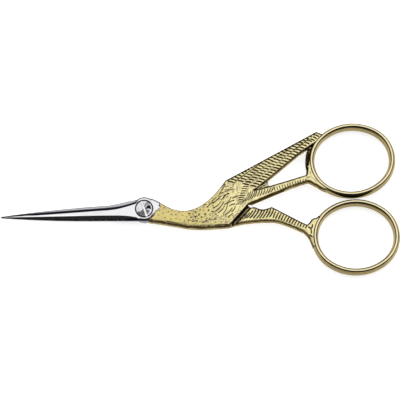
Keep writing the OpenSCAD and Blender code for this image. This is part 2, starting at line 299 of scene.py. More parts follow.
# Fine marks of grinding or turning, as a height and a roughness
marks, start, end = new_group(
    "tool_marks", {"Stretch": "Vector", "Low": "Float", "High": "Float"},
    {"Height": "Float", "Roughness": "Float"})
spot = node(marks, "ShaderNodeTexCoord").outputs["Object"]
drawn = node(marks, "ShaderNodeMapping", {"Vector": spot, "Scale": start["Stretch"]})
streak = node(marks, "ShaderNodeTexNoise", {"Vector": drawn.outputs[0], "Scale": 1.0,
                                            "Detail": 3.0}).outputs["Fac"]
marks.links.new(streak, end["Height"])
marks.links.new(ranged(marks, streak, 0.3, 0.7, start["Low"], start["High"]), end["Roughness"])


def metal(name, bright, middle, dark, mottle, stretch, rough, bump, tint=(1, 1, 1, 1)):
    """A metal that darkens with age and with painted shade, under the fine marks of its making"""
    material, tree, shader = principled(name)
    coat = grouped(tree, aged_and_shaded, Bright=bright(tree) if callable(bright) else bright,
                   Middle=middle, Dark=dark, Mottle_Scale=mottle[0], Mottle=mottle[1])
    lines = grouped(tree, marks, Stretch=stretch, Low=rough[0], High=rough[1])
    relief = node(tree, "ShaderNodeBump", {"Strength": bump[0], "Distance": bump[1],
                                           "Height": lines["Height"]})
    plug(tree, shader, {"Metallic": 1, "Specular Tint": tint, "Base Color": coat["Color"],
                        "Roughness": lines["Roughness"], "Normal": relief.outputs["Normal"]})
    return material


steel = metal(
    "polished_steel", bright=(0.84, 0.84, 0.85, 1), middle=(0.3, 0.3, 0.32, 1),
    dark=(0.008, 0.009, 0.014, 1), mottle=(420, 0.03), stretch=(9000, 260, 900),
    rough=(0.1, 0.2), bump=(0.12, 0.00002), tint=(0.4, 0.4, 0.43, 1))


def off_head(line):
    """The part of a line that lies outside the round head"""
    return line[np.linalg.norm(line, axis=1) > HEAD_R]


# Outlines that the steel and the gilt parts share: the head, and the neck's upper and lower lines
head_start = 0.95 * HEAD_R * heading(76)
head_under = 0.95 * HEAD_R * heading(-76)
neck_hollow = np.array([11.2, -0.6])
neck_under = neck_hollow - [0, 4.2]
throat = off_head(bezier(head_start, [3.6, -0.1], [-4.6, 0], neck_hollow))
nape = np.array([FINISH[0], np.interp(FINISH[0], *throat.T)])
bare_throat = np.array([*throat[throat[:, 0] < FINISH[0]], nape])
chin = off_head(bezier(head_under, [3.6, -0.45], [-3.6, 0.65], neck_under))


def bearing(point):
    return math.degrees(math.atan2(point[1], point[0]))


def head_arc(start, end):
    return np.array([HEAD_R * heading(a) for a in np.linspace(start, end, 16)])


cheek = np.array([*head_arc(bearing(chin[0]), -15), FINISH])
TIP_X, HEEL_X = -41.4, -12.7
TIP_HALF = 0.25
LARGEST_BORE = 2.68
HEAD_SIDE = 3.3
HONE, HONE_Z = 0.16, 0.25
RIDGE_Z, RIDGE_RISE, BACK_FALL = 0.65, 0.95, 0.45


def along_blade(x):
    """How far each x lies from the tip to the heel, and from the heel to the pivot"""
    return np.clip((x - TIP_X) / (HEEL_X - TIP_X), 0, 1), np.clip(1 - x / HEEL_X, 0, 1)


def blade(tip_y, edge_y, ridge_y, back_y, flat_z, up):
    """A blade's ground facets over x below 0, mirrored for the lower half"""
    flip = 1 if up else -1
    x = np.concatenate([np.linspace(TIP_X, HEEL_X, 64)[:-1], np.linspace(HEEL_X, 0, 56)])
    t, run = along_blade(x)
    slope = (edge_y - tip_y - TIP_HALF) / (HEEL_X - TIP_X)
    edge = np.where(x < HEEL_X, tip_y + TIP_HALF + t * (edge_y - tip_y - TIP_HALF),
                    edge_y + slope * (x - HEEL_X))
    edge = edge + run ** 3 * (HEAD_SIDE - edge)
    back = tip_y - TIP_HALF + t * (back_y - tip_y + TIP_HALF) - 0.3 * 4 * t * (1 - t)
    back = back + soft_step(run) * (-HEAD_SIDE - back)
    ridge = tip_y - TIP_HALF / 2 + t * (ridge_y - tip_y + TIP_HALF / 2)
    ridge = ridge + run ** 4 * (-HEAD_SIDE - ridge)
    full = BACK_ROOF
    ridge_z = RIDGE_Z + t * RIDGE_RISE
    ridge_z = ridge_z + soft_step(run / 0.7) * (full - ridge_z)
    back_z = ridge_z - BACK_FALL * (ridge - back)
    hone_z = HONE_Z + soft_step(run / 0.7) * (full - HONE_Z)
    circle = np.sqrt(np.clip(HEAD_R ** 2 - x ** 2, 0, None))
    inside = x > -HEAD_R
    high = np.where(inside, np.maximum(edge, circle), edge)
    low = np.where(inside, np.minimum(back, -circle), back)

    def height(plan):
        px, py = plan[:, 0], plan[:, 1] * flip
        of = [np.interp(px, x, values) for values in (back, ridge, edge, back_z, ridge_z, hone_z)]
        low_y, mid_y, top_y, low_z, mid_z, top_z = of
        hone_y = top_y - HONE
        climb = np.clip((py - low_y) / np.maximum(mid_y - low_y, 1e-6), 0, 1)
        rise = low_z + (mid_z - low_z) * climb
        across = np.clip((py - mid_y) / np.maximum(hone_y - mid_y, 1e-6), 0, 1)
        hollow = 0.05 * np.sin(np.pi * across) * (1 - np.interp(px, x, run))
        fall = mid_z + (top_z - mid_z) * across - hollow
        bevel = top_z * np.clip((top_y - py) / HONE, 0, 1)
        z = np.where(py < mid_y, rise, np.where(py < hone_y, fall, bevel))
        z = np.where((np.hypot(px, py) < HEAD_R + 1e-4) | (px > 0), full, z)
        return flat_z + flip * z

    # Lines of points along the ridge and the honed edge keep both crisp
    lines = []
    for y in (ridge, ridge - 0.03, *(edge - step for step in (HONE, 0.46, 0.58, 0.72, 0.84))):
        clear = (x > TIP_X + 0.1) & (np.hypot(x, y) > LARGEST_BORE + 0.22)
        clear &= ((y <= ridge) | (y > ridge + 0.06)) & (y > back + 0.05)
        lines.append(np.column_stack([x, y])[clear] * [1, flip])

    def painted_edge_reflection(plan):
        """Painted dark reflection along the honed edge, widening to the heel; darker at the tip"""
        px, py = plan[:, 0], plan[:, 1] * flip
        ground = np.interp(px, [-2.6, -1.4], [1, 0])
        width = 0.26 + 0.32 * soft_step((px - TIP_X) / 12) + 0.26 * soft_step((px + 13) / 6)
        dark = 0.97 * ground * soft_step((py - np.interp(px, x, edge) + width) / 0.12)
        return np.maximum(dark, 0.85 * soft_step((TIP_X + 1.3 - px) / 0.6))

    return x, high * flip, low * flip, height, painted_edge_reflection, lines


def within(points, outline):
    """Whether each point lies inside an outline"""
    return np.array([np.count_nonzero(crossings(outline, y) > x) % 2 == 1 for x, y in points])


ALL_ROUND = np.arange(0, 360, 3.75)


def ringed(radius):
    """Points all round the pivot"""
    return np.array([radius * heading(a) for a in ALL_ROUND])


# The spacing of points where the metal's dark lines need them close
CLOSE = 0.12
# Where the front edge rests on the back blade: its start at the tip, and its rise from there
REST_START, REST_TO_HEEL, REST_TO_PIVOT = -2.2, 2.21, 0.98


def steel_half(tip_y, edge_y, ridge_y, back_y, flat_z, up, bore):
    """A blade with its half of the head, bored through or counterbored to the given radii"""
    skin = Skin()
    x, high, low, height, painted_edge_reflection, lines = blade(tip_y, edge_y, ridge_y, back_y, flat_z, up)
    if not up:
        high, low = low, high
    t, run = along_blade(x)
    rest_edge = REST_START + TIP_HALF + t * REST_TO_HEEL + run * REST_TO_PIVOT
    rest_edge = rest_edge + run ** 3 * (HEAD_SIDE - rest_edge)
    under = np.column_stack([x, low])
    over = np.column_stack([x, high])[::-1]
    lower_head = head_arc(-90, bearing(chin[0]))
    upper_head = head_arc(bearing(throat[0]), 90)
    head_lines = (lower_head, cheek, [FINISH, nape], bare_throat[::-1],
                  [throat[0], *upper_head[1:]])
    outline = looped(evenly(under, 0.25), *(evenly(line, CLOSE) for line in head_lines),
                     evenly(over, 0.2), [over[-1], under[0]])
    around = closed(outline)
    inner = clear_of(staggered(outline, 0.4), [*lines, around], CLOSE)
    inner = inner[abs(np.linalg.norm(inner, axis=1) - bore[0]) > CLOSE]
    far_rim, near_rim = head_arc(bearing(throat[0]), 134), under[x > -6]
    rims = [far_rim, bare_throat, lower_head, near_rim]
    beside = clear_of(inset(rims, (0.07, 0.15, 0.24, 0.35, 0.47), CLOSE), [around], 0.05)
    beside = clear_of(beside, lines, 0.04)
    beside = beside[(np.linalg.norm(beside, axis=1) < 6.2) & within(beside, outline)]
    inner = np.concatenate([inner[nearest(inner, beside) > 0.1], beside])
    edge_z = height(around)

    def ground_painted_shade(plan):
        """The ground side: painted dark reflection along the head's rims, and painted shade below
        the upper head
        """
        rim_dark = 0.75 * soft_step(1.8 - distance(plan, [far_rim, bare_throat]) / 0.22)
        if up:
            away = distance(plan, [lower_head, near_rim, cheek[:12]])
            below = 0.97 * soft_step(2.3 - away / 0.22)
            rim_dark = np.maximum(rim_dark, below * soft_step((plan[:, 0] + 6) / 2))
        return np.maximum(painted_edge_reflection(plan), rim_dark)

    def inner_painted_shade(plan):
        """The flat inner side: satin grey, with a painted dark line along its back and a painted
        shadow where the other edge rests
        """
        on_blade = np.interp(plan[:, 0], [-2.2, -1.2], [1, 0])
        back_line = 0.72 * soft_step(1.1 - distance(plan, [over]) / 0.3)
        rest = np.interp(plan[:, 0], x, rest_edge)
        rest_line = 0.97 * soft_step(1.3 - np.abs(plan[:, 1] - rest - 0.05) / 0.42)
        head_line = 0.75 * soft_step(1.15 - distance(plan, [far_rim, bare_throat]) / 0.26)
        return np.maximum(head_line, on_blade * np.maximum(0.25, np.maximum(back_line, rest_line)))

    skin.face(outline, inner, height, hole=bore[0], lines=[*lines, closed(ringed(bore[0]))],
              up=up, patina=ground_painted_shade)
    flat_inner = inner
    if not up:
        flat_inner = clear_of(staggered(outline, CLOSE), [around], 0.07)
        flat_inner = flat_inner[abs(np.linalg.norm(flat_inner, axis=1) - bore[-1]) > 0.08]
        flat_inner = np.concatenate([flat_inner[nearest(flat_inner, beside) > 0.07], beside])
    skin.face(outline, flat_inner, flat_z, hole=bore[-1], lines=[closed(ringed(bore[-1]))],
              up=not up, patina=inner_painted_shade)
    # The wall darkens towards its top: painted shade
    skin.wall(around, [edge_z, (edge_z * 2 + flat_z) / 3, flat_z],
              patina=lambda z: 0.12 + 0.85 * soft_step((z - 2.1) / 0.6))
    return skin


def rings_between(skin, steps, patina=0, at=ringed):
    """Turned faces through the given radii and heights round the pivot"""
    for (r0, z0), (r1, z1) in zip(steps, steps[1:]):
        inner, outer = at(r0), at(r1)
        count = len(inner)
        points = [(*p, z0) for p in inner] + [(*p, z1) for p in outer]
        skin.add(points, [[k, (k + 1) % count, count + (k + 1) % count, count + k]
                          for k in range(count)], patina=patina)


SEAT, COUNTERBORE, BORE = 3.12, 2.6, 1.3
skin = steel_half(tip_y=-2.2, edge_y=0.26, ridge_y=-1.97, back_y=-3.3, flat_z=FRONT_FLOOR,
                  up=True, bore=(LARGEST_BORE, BORE))
rings_between(skin, [(LARGEST_BORE, THICK), (COUNTERBORE, THICK - 0.08)])
# The counterbore and bore are dark: painted shade in the gap round the screw
rings_between(skin, [(COUNTERBORE, THICK - 0.08), (COUNTERBORE, THICK - 0.12),
                     (COUNTERBORE, SEAT), (BORE, SEAT), (BORE, FRONT_FLOOR)], patina=0.9)
front_blade = skin.made("front_blade_steel", steel, crisp=12)
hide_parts("front_blade")
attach(front_blade, "front_half")

THREAD_R = 1.0
skin = steel_half(tip_y=2.2, edge_y=2.3, ridge_y=0.1, back_y=-1.26, flat_z=BACK_ROOF,
                  up=False, bore=(THREAD_R, THREAD_R))
rings_between(skin, [(THREAD_R, 0), (THREAD_R, BACK_ROOF)])
back_blade = skin.made("back_blade_steel", steel, crisp=12)
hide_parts("back_blade")
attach(back_blade, "back_half")

# ---------------------------------------------------------------------------------------------
# Pivot screw. A turned steel screw with a slightly domed, slotted head that sits down in the
# upper half's counterbore. Its thread ends flush with the lower half's underside.

screw_steel = metal(
    "turned_screw_steel", bright=(0.93, 0.93, 0.95, 1), middle=(0.3, 0.3, 0.32, 1),
    dark=(0.006, 0.007, 0.01, 1), mottle=(900, 0.06), stretch=(1500, 1500, 300),
    rough=(0.1, 0.25), bump=(0.2, 0.00002))

skin = Skin()
SCREW_R, DOME, HEAD_FLOOR, SHANK_R = 2.4, 0.15, 3.15, 1.25
SLOT, SLOT_DEPTH, SLOT_TURN = 0.25, 0.3, -71
SLOT_RUN, SLOT_SIDE = heading(SLOT_TURN), heading(SLOT_TURN + 90)
SLIT = SLOT + 0.004
dome_r = (SCREW_R ** 2 + DOME ** 2) / (2 * DOME)


def dome(r):
    return THICK + DOME - dome_r + np.sqrt(dome_r ** 2 - r * r)


def head_height(plan):
    """The domed head with a turned-down rim, and the slot across it"""
    r = np.hypot(*plan.T)
    z = dome(r) - 0.12 * soft_step((r - 2.26) / 0.14) ** 2
    across = abs(plan @ SLOT_SIDE)
    return np.where(across < SLIT, THICK - SLOT_DEPTH, z)


def painted_screw_reflections(plan):
    """Painted reflections on the screw's face in two dark fans, with lighter ones between them,
    and painted shade at the rim and along the slot's lips
    """
    r = np.hypot(*plan.T)
    angle = np.degrees(np.arctan2(plan[:, 1], plan[:, 0])) + 7 * np.sin(4 * r)
    right = soft_step((27 - abs(angle - 4 - 9 * r)) / 12) * soft_step((r - 0.2) / 0.3)
    right *= 0.9 * soft_step((2.15 - r) / 0.3)
    below = 0.85 * soft_step((40 - abs(angle + 112)) / 12) * soft_step((r - 0.2) / 0.5)
    below *= 0.78 + 0.22 * np.sin(angle * 0.33 + 2 * r)
    upper = 0.12 + 0.3 * soft_step((22 - abs(angle - 62)) / 12)
    upper += 0.5 * soft_step((26 - abs(angle + 42)) / 14) * soft_step((2.0 - r) / 0.3)
    across = abs(plan @ SLOT_SIDE)
    rim = 0.95 * soft_step((r - 2.27) / 0.08)
    lip = 0.85 * soft_step(1 - (across - SLOT - 0.012) / 0.12)
    return np.where(across < SLIT, 0.0, np.maximum.reduce([right, below, upper, rim, lip]))


half = math.degrees(math.asin(SLOT / SCREW_R))
lips = [SLOT_TURN + turn + sign * (half + step)
        for turn in (0, 180) for sign in (-1, 1) for step in (0, 0.2)]
rim_angles = np.sort(np.concatenate([ALL_ROUND, np.array(lips) % 360]))
disc = np.array([SCREW_R * heading(a) for a in rim_angles])
field = clear_of(staggered(disc, 0.1), [closed(disc)], 0.06)
field = field[abs(abs(field @ SLOT_SIDE) - SLOT) > 0.05]
edges = []
for turn in (-1, 1):
    for step in (0.0, 0.0084):
        offset = turn * (SLOT + step)
        reach = math.sqrt(SCREW_R ** 2 - offset ** 2) - 0.02
        middle = SLOT_SIDE * offset
        edges.append(evenly([middle - SLOT_RUN * reach, middle + SLOT_RUN * reach], CLOSE))
skin.face(disc, field, head_height, lines=edges, patina=painted_screw_reflections)
head_rim = closed(disc)
# The head's rim wall is dark: painted shade in the gap round the head
skin.wall(head_rim, [head_height(head_rim), HEAD_FLOOR], patina=0.95)


def scaled_disc(r):
    return disc * r / SCREW_R


END_R, CHAMFER, HUB = 0.94, 0.06, 0.02
# The head's underside is dark: painted shade under the head
rings_between(skin, [(SCREW_R, HEAD_FLOOR), (SHANK_R, HEAD_FLOOR)], 0.9, scaled_disc)
rings_between(skin, [(SHANK_R, HEAD_FLOOR), (SHANK_R, BACK_ROOF), (THREAD_R, BACK_ROOF),
                     (THREAD_R, CHAMFER)], 0.3, scaled_disc)
rings_between(skin, [(THREAD_R, CHAMFER), (END_R, 0), (HUB, 0)], 0.1, scaled_disc)
skin.add([(*p, 0) for p in scaled_disc(HUB)], [list(range(len(disc)))[::-1]], patina=0.1)
screw = skin.made("turned_pivot_screw", screw_steel, crisp=25)
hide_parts("pivot_screw")
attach(screw, "back_half")

# ---------------------------------------------------------------------------------------------
# Finger rings. Each is an oval loop with a rounded band, of one forging with its half, gilt and
# polished smooth.

TAN, BROWN = (0.5, 0.42, 0.245, 1), (0.022, 0.014, 0.005, 1)
ring_gilding = metal(
    "ring_gilding", bright=(0.92, 0.82, 0.52, 1), middle=(0.37, 0.3, 0.15, 1), dark=BROWN,
    mottle=(500, 0.05), stretch=(700, 700, 700), rough=(0.12, 0.2), bump=(0.1, 0.00002),
    tint=(0.68, 0.61, 0.48, 1))

MID_A, MID_B, BAND = 11.8, 10.275, 1.9
OUT_A, OUT_B = MID_A + BAND / 2, MID_B + BAND / 2
RING_JOIN = np.array([0.6, 0.8])
centre_distance = (MID_A - MID_B) / (RING_JOIN.sum() - 1)
end_centre = centre_distance * RING_JOIN[0]
side_centre = centre_distance * RING_JOIN[1]
end_r = MID_A - end_centre
side_r = end_r + centre_distance


def half_height(tilt):
    """From a ring's centre to its lowest or highest point"""
    return side_r + BAND / 2 - side_centre * math.cos(math.radians(tilt))


FRONT_TILT, BACK_TILT = 8, 2
MEET_Y, GAP = 3.39, 0.21
FRONT_RING = np.array([60.3, MEET_Y + GAP + half_height(FRONT_TILT)]), FRONT_TILT
BACK_RING = np.array([61.1, MEET_Y - GAP - half_height(BACK_TILT)]), BACK_TILT


def oval_frame():
    """Points and outward directions all round a ring's centre line"""
    join = math.degrees(math.atan2(RING_JOIN[1], RING_JOIN[0]))
    arcs = [((end_centre, 0), end_r, -join, join, 52),
            ((0, -side_centre), side_r, join, 180 - join, 44),
            ((-end_centre, 0), end_r, 180 - join, 180 + join, 52),
            ((0, side_centre), side_r, 180 + join, 360 - join, 44)]
    points, out = [], []
    for centre, radius, start, end, count in arcs:
        for a in np.linspace(start, end, count, endpoint=False):
            points.append(np.array(centre) + radius * heading(a))
            out.append(heading(a))
    return np.array(points), np.array(out)


def ring_painted_reflections(side, out):
    """Painted reflections: dark beside the crest, and lines and bands set by the way each side
    faces
    """
    bench, far_side = (soft_step(1.4 * np.clip(turn * out[:, 1] * side, 0, 1)) for turn in (-1, 1))
    round_it = np.arctan2(out[:, 1], out[:, 0])
    uneven = 0.5 + 0.5 * np.sin(2 * round_it - 0.7) * np.cos(0.6 * side)
    shade = (0.32 + 0.16 * uneven) * soft_step((abs(side) - 0.24) / 0.2)
    line = 0.75 * math.exp(-((abs(side) - 0.4) / 0.12) ** 2)
    # A lighter streak across the dark bands is a painted highlight; the bands are painted dark
    # reflections
    streak = 1 - (0.55 if side > 0 else 0.2) * math.exp(-((abs(side) - 0.6) / 0.06) ** 2)
    band = 0.97 * soft_step((abs(side) - 0.2) / 0.12) * soft_step((0.9 - abs(side)) / 0.26)
    edge = 0.9 * soft_step((abs(side) - 0.15) / 0.13)
    band = band * streak * (0.72 + 0.28 * uneven)
    return np.maximum(np.maximum(shade, line), np.maximum(band * bench, edge * far_side))


SECTION, RING_HALF, RING_RISE = 40, BAND / 2 - 0.008, 1.995


def finger_ring(name, centre, tilt, body, stands_for):
    """An oval ring, its rounded section carried round its centre line"""
    turn = np.array([heading(tilt) * [1, -1], heading(tilt)[::-1]])
    points, out = oval_frame()
    points, out = points @ turn.T + centre, out @ turn.T
    count = len(points)
    rows, dark = [], []
    for k in range(SECTION):
        u = 2 * math.pi * k / SECTION
        plan = points + out * RING_HALF * math.cos(u)
        height = THICK / 2 + RING_RISE * math.sin(u)
        rows.append(np.column_stack([plan, np.full(count, height)]))
        dark.append(ring_painted_reflections(math.cos(u), out))
    faces = [[k * count + i, k * count + (i + 1) % count,
              (k + 1) % SECTION * count + (i + 1) % count, (k + 1) % SECTION * count + i]
             for k in range(SECTION) for i in range(count)]
    skin = Skin()
    skin.add(np.concatenate(rows), faces, 0, np.concatenate(dark))
    ring = skin.made(name, ring_gilding)
    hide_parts(stands_for)
    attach(ring, body)


finger_ring("front_finger_ring", *FRONT_RING, "front_half", "front_ring")
finger_ring("back_finger_ring", *BACK_RING, "back_half", "back_ring")

# ---------------------------------------------------------------------------------------------
# Gilt shanks. Each half is a drop forging whose faces are struck with a traditional feather
# pattern: pits on the neck, quills on the breast, rows of barbs on the wing and hatching down
# the legs. Every stroke is darkened with patina and painted shade, and the rims and walls carry
# painted shade.

shoulder, belly, fork = np.array([23.5, 8.45]), np.array([24.5, -4.75]), np.array([30.1, 1.5])
tail, window, knee = np.array([50.0, 23.2]), np.array([31.8, 5.6]), np.array([36.8, 0.55])
knee_under = knee - [0, 3.85]
WING_RISE = 40.4
joint_dir = (fork - belly) / np.linalg.norm(fork - belly)
joint_side = np.array([joint_dir[1], -joint_dir[0]])
thigh_corner = fork + 1.5 * joint_side
thigh_heel = belly + 1.5 * joint_side + 2.1 * joint_dir


def ring_point(ring, angle, reach):
    """The point in a direction from a ring's centre, at a reach beyond its outer edge"""
    centre, tilt = ring
    u = math.radians(angle - tilt)
    a, b = OUT_A + reach, OUT_B + reach
    return centre + a * b / math.hypot(b * math.cos(u), a * math.sin(u)) * heading(angle)


def claw(ring, keys, count=26):
    """A foot's edge beside its ring, through directions and reaches"""
    keys = np.array(keys, float)
    at = np.linspace(0, len(keys) - 1, count)
    angle = np.interp(at, range(len(keys)), keys[:, 0])
    reach = np.interp(at, range(len(keys)), keys[:, 1])
    return np.array([ring_point(ring, a, r) for a, r in zip(angle, reach)])


leg_mid = ring_point(FRONT_RING, 203, 1.6)
leg_top, leg_bottom = leg_mid + 0.875 * heading(108), leg_mid - 0.875 * heading(108)
shin_mid = ring_point(BACK_RING, 170.5, 2)
shin_top, shin_bottom = shin_mid + heading(64), shin_mid - heading(64)

breast = bezier(neck_hollow, [5, 0], -6 * heading(55), shoulder)
wing_root = window + 17.4 * heading(WING_RISE)
wing_end = tail - 6 * heading(WING_RISE + 85)
leg_over = bezier(window, [4, 0.95], [-4, -1.2], leg_top)
leg_under = bezier(fork, [4, 1.7], [-4.5, -1.1], leg_bottom)
throat_end = np.array([nape, *throat[throat[:, 0] > FINISH[0]]])
belly_line = bezier(neck_under, [4.6, -0.83], [-4.2, -0.3], belly)
under_neck = np.array([*chin, *belly_line[1:]])
LAP_AT, FORK_AT = 25, 5
lap_start, lap_corner = breast[LAP_AT], leg_under[FORK_AT]
lap = bezier(lap_start, [3.5, 1.6], fork + [-5, 1.3] - lap_corner, lap_corner)
thigh_over = np.array([*bezier(thigh_corner, [2.2, 0.05], [-3.8, -1.65], knee),
                       *bezier(knee, [2.8, -1.3], [-3, 1.3], shin_top)[1:]])
thigh_under = np.array([*bezier(thigh_heel, [3, 0.65], [-3.6, 0], knee_under),
                        *bezier(knee_under, [2.6, 0], [-3.2, 1.45], shin_bottom)[1:]])


def rubbed_gold(tree):
    """Yellow at the neck, and rubbed paler towards the hand"""
    spot = node(tree, "ShaderNodeTexCoord").outputs["Object"]
    toward = node(tree, "ShaderNodeSeparateXYZ", {0: spot}).outputs["X"]
    rubbed = ranged(tree, toward, 0.014, 0.029, kind="SMOOTHSTEP")
    return mixed(tree, rubbed, (0.735, 0.61, 0.225, 1), (0.94, 0.85, 0.44, 1), "RGBA")


gilding = metal(
    "gilding", bright=rubbed_gold, middle=TAN, dark=BROWN, mottle=(650, 0.24),
    stretch=(1800, 1800, 1800), rough=(0.24, 0.4), bump=(0.25, 0.00005),
    tint=(0.54, 0.47, 0.34, 1))


def new_tree(name, **inputs):
    """An empty geometry tree with named inputs, and its two ends"""
    named = {label.replace("_", " "): value for label, value in inputs.items()}
    return new_group(name, {"Geometry": "Geometry", **named}, {"Geometry": "Geometry"},
                     "GeometryNodeTree")


def finish_tree(tree, geometry, material, end):
    """The last steps of a tree: plain geometry, coated"""
    whole = node(tree, "GeometryNodeRealizeInstances", {"Geometry": geometry})
    coated = node(tree, "GeometryNodeSetMaterial",
                  {"Geometry": whole.outputs[0], "Material": material})
    tree.links.new(coated.outputs[0], end["Geometry"])


def fitted(piece, tree, **values):
    """A geometry tree put on a piece, with its inputs set"""
    modifier = piece.modifiers.new(tree.name, "NODES")
    modifier.node_group = tree
    for item in tree.interface.items_tree:
        key = item.name.replace(" ", "_")
        if item.in_out == "INPUT" and key in values:
            modifier[item.identifier] = values[key]


def guide(lines, faces=False):
    """Flat lines or areas in plan, to be followed, filled or struck"""
    spots, edges, areas = [], [], []
    for line in lines:
        places = range(len(spots), len(spots) + len(line))
        spots += [(x * MM, y * MM, 0) for x, y in line]
        if faces:
            areas.append([*places])
        else:
            edges += zip(places, places[1:])
    mesh = bpy.data.meshes.new("guide")
    mesh.from_pydata(spots, edges, areas)
    return in_scene("guide", mesh)


def bent_line(tree, bend):
    """A unit stroke along X, bowed sideways"""
    line = node(tree, "GeometryNodeMeshLine", {"Count": 7, "Start Location": (-0.5, 0, 0),
                                               "Offset": (1 / 6, 0, 0)})
    spot = node(tree, "GeometryNodeInputPosition").outputs[0]
    x = node(tree, "ShaderNodeSeparateXYZ", {0: spot}).outputs["X"]
    crown = maths(tree, "MULTIPLY_ADD", maths(tree, "MULTIPLY", x, x), -4, 1)
    shift = node(tree, "ShaderNodeCombineXYZ", {"Y": maths(tree, "MULTIPLY", crown, bend)})
    return node(tree, "GeometryNodeSetPosition", {"Geometry": line.outputs["Mesh"],
                                                  "Offset": shift.outputs[0]}).outputs[0]


def spread(tree, low, high, seed, plus):
    """A random number for each stroke"""
    value = node(tree, "FunctionNodeRandomValue", {
        2: low, 3: high, "Seed": maths(tree, "ADD", seed, plus)}, data_type="FLOAT")
    return value.outputs[1]


def strewn(tree, points, bend, slant, size, material, end):
    """Bent strokes on points, each with its own slant and size, as what the tree gives"""
    turn = node(tree, "ShaderNodeCombineXYZ", {"Z": slant})
    placed = node(tree, "GeometryNodeInstanceOnPoints", {
        "Points": points, "Instance": bent_line(tree, bend), "Rotation": turn.outputs[0],
        "Scale": size})
    finish_tree(tree, placed.outputs[0], material, end)


# Strokes in a row along a line, whose length and slant change from its start to its end
tree, start, end = new_tree(
    "stroke_row", Pitch="Float", Start_Length="Float", End_Length="Float", Start_Slant="Float",
    End_Slant="Float", Bend="Float", Jitter="Float", Seed="Int", Material="Material")
curve = node(tree, "GeometryNodeMeshToCurve", {0: start["Geometry"]})
steps = node(tree, "GeometryNodeResampleCurve", {"Curve": curve.outputs[0],
                                                 "Length": start["Pitch"]}, mode="LENGTH")
along = node(tree, "GeometryNodeSplineParameter").outputs["Factor"]
size = mixed(tree, along, start["Start Length"], start["End Length"])
slant = mixed(tree, along, start["Start Slant"], start["End Slant"])
swing = maths(tree, "MULTIPLY_ADD", spread(tree, -0.5, 0.5, start["Seed"], 3), start["Jitter"],
              slant)
grow = maths(tree, "MULTIPLY_ADD", spread(tree, -0.9, 0.9, start["Seed"], 5), start["Jitter"], 1)
strewn(tree, steps.outputs[0], start["Bend"], swing, maths(tree, "MULTIPLY", size, grow),
       start["Material"], end)
row_tree = tree

# Short pits scattered over an area
tree, start, end = new_tree(
    "scattered_pits", Spacing="Float", Density="Float", Length="Float", Slant="Float",
    Slant_Spread="Float", Bend="Float", Seed="Int", Material="Material")
dots = node(tree, "GeometryNodeDistributePointsOnFaces", {
    "Mesh": start["Geometry"], "Distance Min": start["Spacing"], "Density Max": start["Density"],
    "Seed": start["Seed"]}, distribute_method="POISSON")
swing = maths(tree, "MULTIPLY_ADD", spread(tree, -1, 1, start["Seed"], 2), start["Slant Spread"],
              start["Slant"])
size = maths(tree, "MULTIPLY", spread(tree, 0.4, 1.3, start["Seed"], 7), start["Length"])
strewn(tree, dots.outputs["Points"], start["Bend"], swing, size, start["Material"], end)
pit_tree = tree

# Strokes pressed into a face, darkened in them with patina and painted shade
tree, start, end = new_tree(
    "struck_relief", Strokes="Object", Half_Width="Float", Depth="Float", Darkness="Float",
    Material="Material")
tool = node(tree, "GeometryNodeObjectInfo", {"Object": start["Strokes"]},
            transform_space="RELATIVE")
flat = node(tree, "ShaderNodeVectorMath", {
    0: node(tree, "GeometryNodeInputPosition").outputs[0], 1: (1, 1, 0)}, operation="MULTIPLY")
near = node(tree, "GeometryNodeProximity", {
    0: tool.outputs["Geometry"], "Source Position": flat.outputs[0]}, target_element="EDGES")
share = maths(tree, "DIVIDE", near.outputs["Distance"], start["Half Width"])
groove = ranged(tree, share, 1, 0, kind="SMOOTHSTEP")
side, before = (
    node(tree, "GeometryNodeInputNamedAttribute", {"Name": name},
         data_type="FLOAT").outputs["Attribute"] for name in ("side", "recess"))
held = maths(tree, "MULTIPLY", groove, maths(tree, "ABSOLUTE", side))
deep = maths(tree, "MULTIPLY", maths(tree, "MULTIPLY", groove, side), start["Depth"])
press = node(tree, "ShaderNodeCombineXYZ", {"Z": maths(tree, "MULTIPLY", deep, -1)})
shade = maths(tree, "MULTIPLY", held, start["Darkness"])
noted = node(tree, "GeometryNodeStoreNamedAttribute", {
    "Geometry": start["Geometry"], "Name": "recess",
    "Value": maths(tree, "MAXIMUM", shade, before)}, data_type="FLOAT", domain="POINT")
pressed = node(tree, "GeometryNodeSetPosition", {
    "Geometry": noted.outputs[0], "Offset": press.outputs[0]})
finish_tree(tree, pressed.outputs[0], start["Material"], end)
relief_tree = tree


def settled(piece):
    """The piece with its modifiers turned into a plain mesh"""
    seen = piece.evaluated_get(bpy.context.evaluated_depsgraph_get())
    mesh = bpy.data.meshes.new_from_object(seen)
    piece.modifiers.clear()
    piece.data = mesh
    return piece


def stroke_row(points, pitch, lengths, slants, bend, jitter, seed):
    """Strokes side by side along a line, like barbs on a quill"""
    row = guide([evenly(points, 0.2)])
    fitted(row, row_tree, Pitch=pitch * MM, Start_Length=lengths[0] * MM,
           End_Length=lengths[1] * MM, Start_Slant=math.radians(slants[0]),
           End_Slant=math.radians(slants[1]), Bend=bend, Jitter=jitter, Seed=seed,
           Material=gilding)
    return settled(row)


def pits(area, spacing, length, slant, slant_spread, bend, seed):
    """Short pits all over an area"""
    patch = guide([area], faces=True)
    fitted(patch, pit_tree, Spacing=spacing * MM, Density=6e6, Length=length * MM,
           Slant=math.radians(slant), Slant_Spread=math.radians(slant_spread), Bend=bend,
           Seed=seed, Material=gilding)
    return settled(patch)


def cut_lines(lines):
    """Strokes cut one by one, those of three points as a curve through them"""
    cuts = []
    for line in lines:
        if len(line) == 3:
            a, b, c = (np.array(p, float) for p in line)
            line = [(1 - t) ** 2 * a + 2 * t * (1 - t) * (2 * b - (a + c) / 2) + t * t * c
                    for t in np.linspace(0, 1, 7)]
        cuts.append(line)
    return guide(cuts)


